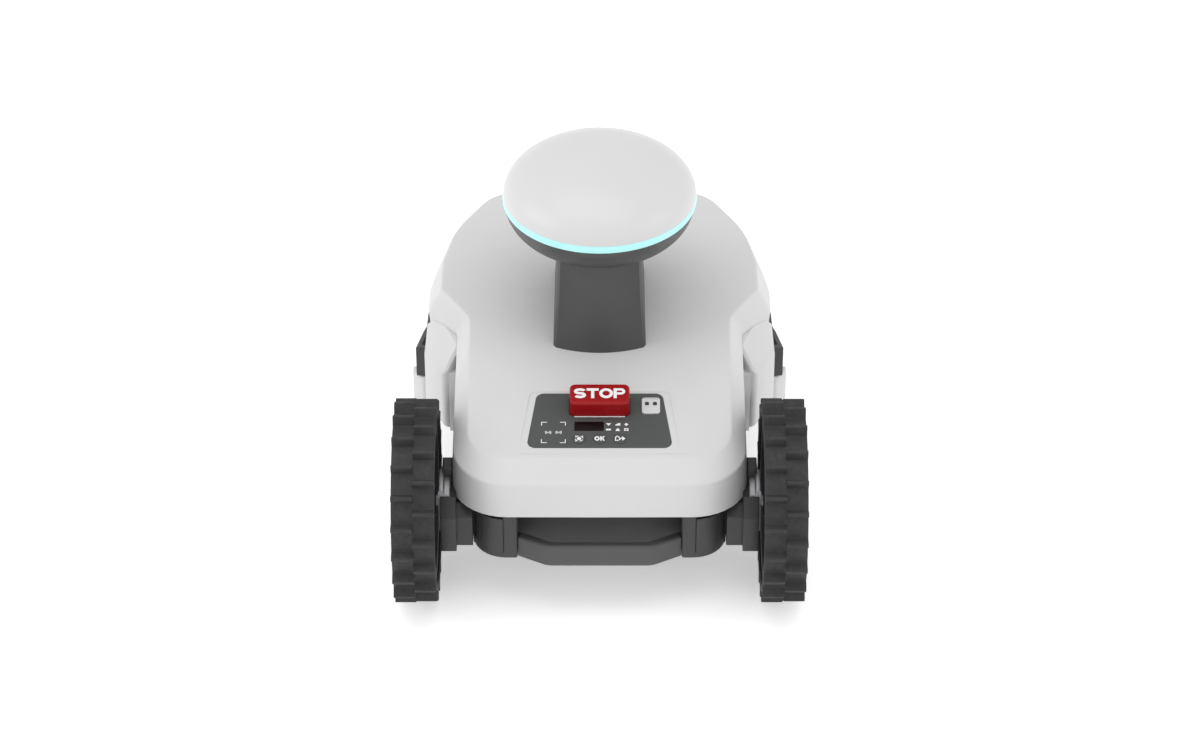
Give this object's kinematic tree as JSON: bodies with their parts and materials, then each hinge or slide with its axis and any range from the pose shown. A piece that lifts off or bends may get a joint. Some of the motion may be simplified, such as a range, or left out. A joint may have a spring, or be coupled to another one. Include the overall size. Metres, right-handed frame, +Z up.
{
  "type": "robotic lawn mower",
  "caption": "Robotic lawn mower with cleated rear drive wheels, swivel front casters, a stop bar keypad, a satellite antenna on a neck and a height-adjusted cutting disc.",
  "frame": {"origin": "centre of the bounding box at ground level", "axes": "+Y is the mower's forward direction, +Z is up, +X is to its right"},
  "size_m": [0.42, 0.5599, 0.3986],
  "materials": {
    "shell_white": "satin, fine texture",
    "dark_plastic": "matte",
    "panel_grey": "matte film",
    "tyre_rubber": "matte, cleated",
    "stop_red": "satin",
    "glow": "lit diffuser",
    "dome_white": "satin",
    "display": "dark window",
    "steel": "machined",
    "brass": "plated",
    "circuit_board": "solder mask",
    "battery": "matte",
    "motor_can": "plated"
  },
  "bodies": {
    "body": {"top_shell": "shell_white", "chassis": "dark_plastic", "right_side_cover": "shell_white", "left_side_cover": "shell_white", "carry_handle": "dark_plastic", "right_corner_post": "dark_plastic", "left_corner_post": "dark_plastic", "cutting_deck": "dark_plastic", "battery_cover": "dark_plastic", "battery_pack": "battery", "main_circuit_board": "circuit_board", "left_cover_screw": "steel", "right_cover_screw": "steel", "control_panel": "panel_grey", "display_window": "display", "rain_sensor": "shell_white", "antenna_neck": "dark_plastic", "antenna_bowl": "dark_plastic", "light_ring": "glow", "antenna_dome": "dome_white", "antenna_board": "circuit_board", "left_gear_housing": "dark_plastic", "left_drive_motor": "motor_can", "right_gear_housing": "dark_plastic", "right_drive_motor": "motor_can"},
    "stop_button": {"stop_button": "stop_red"},
    "mow_key": {"mow_key": "panel_grey"},
    "ok_key": {"ok_key": "panel_grey"},
    "home_key": {"home_key": "panel_grey"},
    "front_bumper": {"front_bumper": "dark_plastic", "left_charging_contact": "brass", "right_charging_contact": "brass"},
    "cutter_carriage": {"cutter_carriage": "dark_plastic"},
    "lead_screw": {"lead_screw": "steel"},
    "cutting_disc": {"cutting_disc": "dark_plastic", "skid_plate": "dark_plastic", "blade_screw_1": "steel", "blade_screw_2": "steel", "blade_screw_3": "steel"},
    "blade_1": {"blade_1": "steel"},
    "blade_2": {"blade_2": "steel"},
    "blade_3": {"blade_3": "steel"},
    "left_wheel": {"left_drive_tyre": "tyre_rubber", "left_rim": "dark_plastic", "left_hub_cap": "dark_plastic", "left_axle_shaft": "steel", "left_drive_gear": "steel"},
    "left_pinion": {"left_pinion": "brass"},
    "left_caster": {"left_caster_fork": "dark_plastic", "left_caster_pin": "steel"},
    "left_caster_wheel": {"left_caster_wheel": "tyre_rubber"},
    "right_wheel": {"right_drive_tyre": "tyre_rubber", "right_rim": "dark_plastic", "right_hub_cap": "dark_plastic", "right_axle_shaft": "steel", "right_drive_gear": "steel"},
    "right_pinion": {"right_pinion": "brass"},
    "right_caster": {"right_caster_fork": "dark_plastic", "right_caster_pin": "steel"},
    "right_caster_wheel": {"right_caster_wheel": "tyre_rubber"}
  },
  "joints": [
    {"name": "left_wheel_spin", "type": "hinge", "parent": "body", "child": "left_wheel", "pos_m": [-0.188, -0.175, 0.105], "axis": [1, 0, 0], "continuous": true},
    {"name": "left_pinion_spin", "type": "hinge", "parent": "body", "child": "left_pinion", "pos_m": [-0.158, -0.1505, 0.0844], "axis": [1, 0, 0], "continuous": true},
    {"name": "left_caster_swivel", "type": "hinge", "parent": "body", "child": "left_caster", "pos_m": [-0.112, 0.197, 0.11], "axis": [0, 0, 1], "continuous": true},
    {"name": "left_caster_roll", "type": "hinge", "parent": "left_caster", "child": "left_caster_wheel", "pos_m": [-0.112, 0.172, 0.042], "axis": [1, 0, 0], "continuous": true},
    {"name": "right_wheel_spin", "type": "hinge", "parent": "body", "child": "right_wheel", "pos_m": [0.188, -0.175, 0.105], "axis": [1, 0, 0], "continuous": true},
    {"name": "right_pinion_spin", "type": "hinge", "parent": "body", "child": "right_pinion", "pos_m": [0.158, -0.1505, 0.0844], "axis": [1, 0, 0], "continuous": true},
    {"name": "right_caster_swivel", "type": "hinge", "parent": "body", "child": "right_caster", "pos_m": [0.112, 0.197, 0.11], "axis": [0, 0, 1], "continuous": true},
    {"name": "right_caster_roll", "type": "hinge", "parent": "right_caster", "child": "right_caster_wheel", "pos_m": [0.112, 0.172, 0.042], "axis": [1, 0, 0], "continuous": true},
    {"name": "stop_press", "type": "slide", "parent": "body", "child": "stop_button", "axis": [0, 0.1922, -0.9814], "range_m": [0, 0.004], "stiffness_N_per_m": 900, "springref_m": -0.001},
    {"name": "mow_press", "type": "slide", "parent": "body", "child": "mow_key", "axis": [0, 0.1922, -0.9814], "range_m": [0, 0.001], "stiffness_N_per_m": 600, "springref_m": -0.001},
    {"name": "ok_press", "type": "slide", "parent": "body", "child": "ok_key", "axis": [0, 0.1922, -0.9814], "range_m": [0, 0.001], "stiffness_N_per_m": 600, "springref_m": -0.001},
    {"name": "home_press", "type": "slide", "parent": "body", "child": "home_key", "axis": [0, 0.1922, -0.9814], "range_m": [0, 0.001], "stiffness_N_per_m": 600, "springref_m": -0.001},
    {"name": "bumper_press", "type": "slide", "parent": "body", "child": "front_bumper", "axis": [0, -1, 0], "range_m": [0, 0.006], "stiffness_N_per_m": 1500, "springref_m": -0.001},
    {"name": "cut_height", "type": "slide", "parent": "body", "child": "cutter_carriage", "axis": [0, 0, 1], "range_m": [0, 0.035]},
    {"name": "lead_screw_spin", "type": "hinge", "parent": "body", "child": "lead_screw", "pos_m": [0.045, -0.01, 0.13], "axis": [0, 0, 1], "range_deg": [-1, 1580]},
    {"name": "disc_spin", "type": "hinge", "parent": "cutter_carriage", "child": "cutting_disc", "pos_m": [0, -0.01, 0.043], "axis": [0, 0, 1], "continuous": true},
    {"name": "blade_1_swing", "type": "hinge", "parent": "cutting_disc", "child": "blade_1", "pos_m": [0, 0.068, 0.0406], "axis": [0, 0, 1], "continuous": true},
    {"name": "blade_2_swing", "type": "hinge", "parent": "cutting_disc", "child": "blade_2", "pos_m": [-0.06755, -0.049, 0.0406], "axis": [0, 0, 1], "continuous": true},
    {"name": "blade_3_swing", "type": "hinge", "parent": "cutting_disc", "child": "blade_3", "pos_m": [0.06755, -0.049, 0.0406], "axis": [0, 0, 1], "continuous": true}
  ],
  "couplings": [
    {"joint": "left_pinion_spin", "follows": "left_wheel_spin", "ratio": -3},
    {"joint": "right_pinion_spin", "follows": "right_wheel_spin", "ratio": -3},
    {"joint": "lead_screw_spin", "follows": "cut_height", "rad_per_m": 785.4}
  ]
}
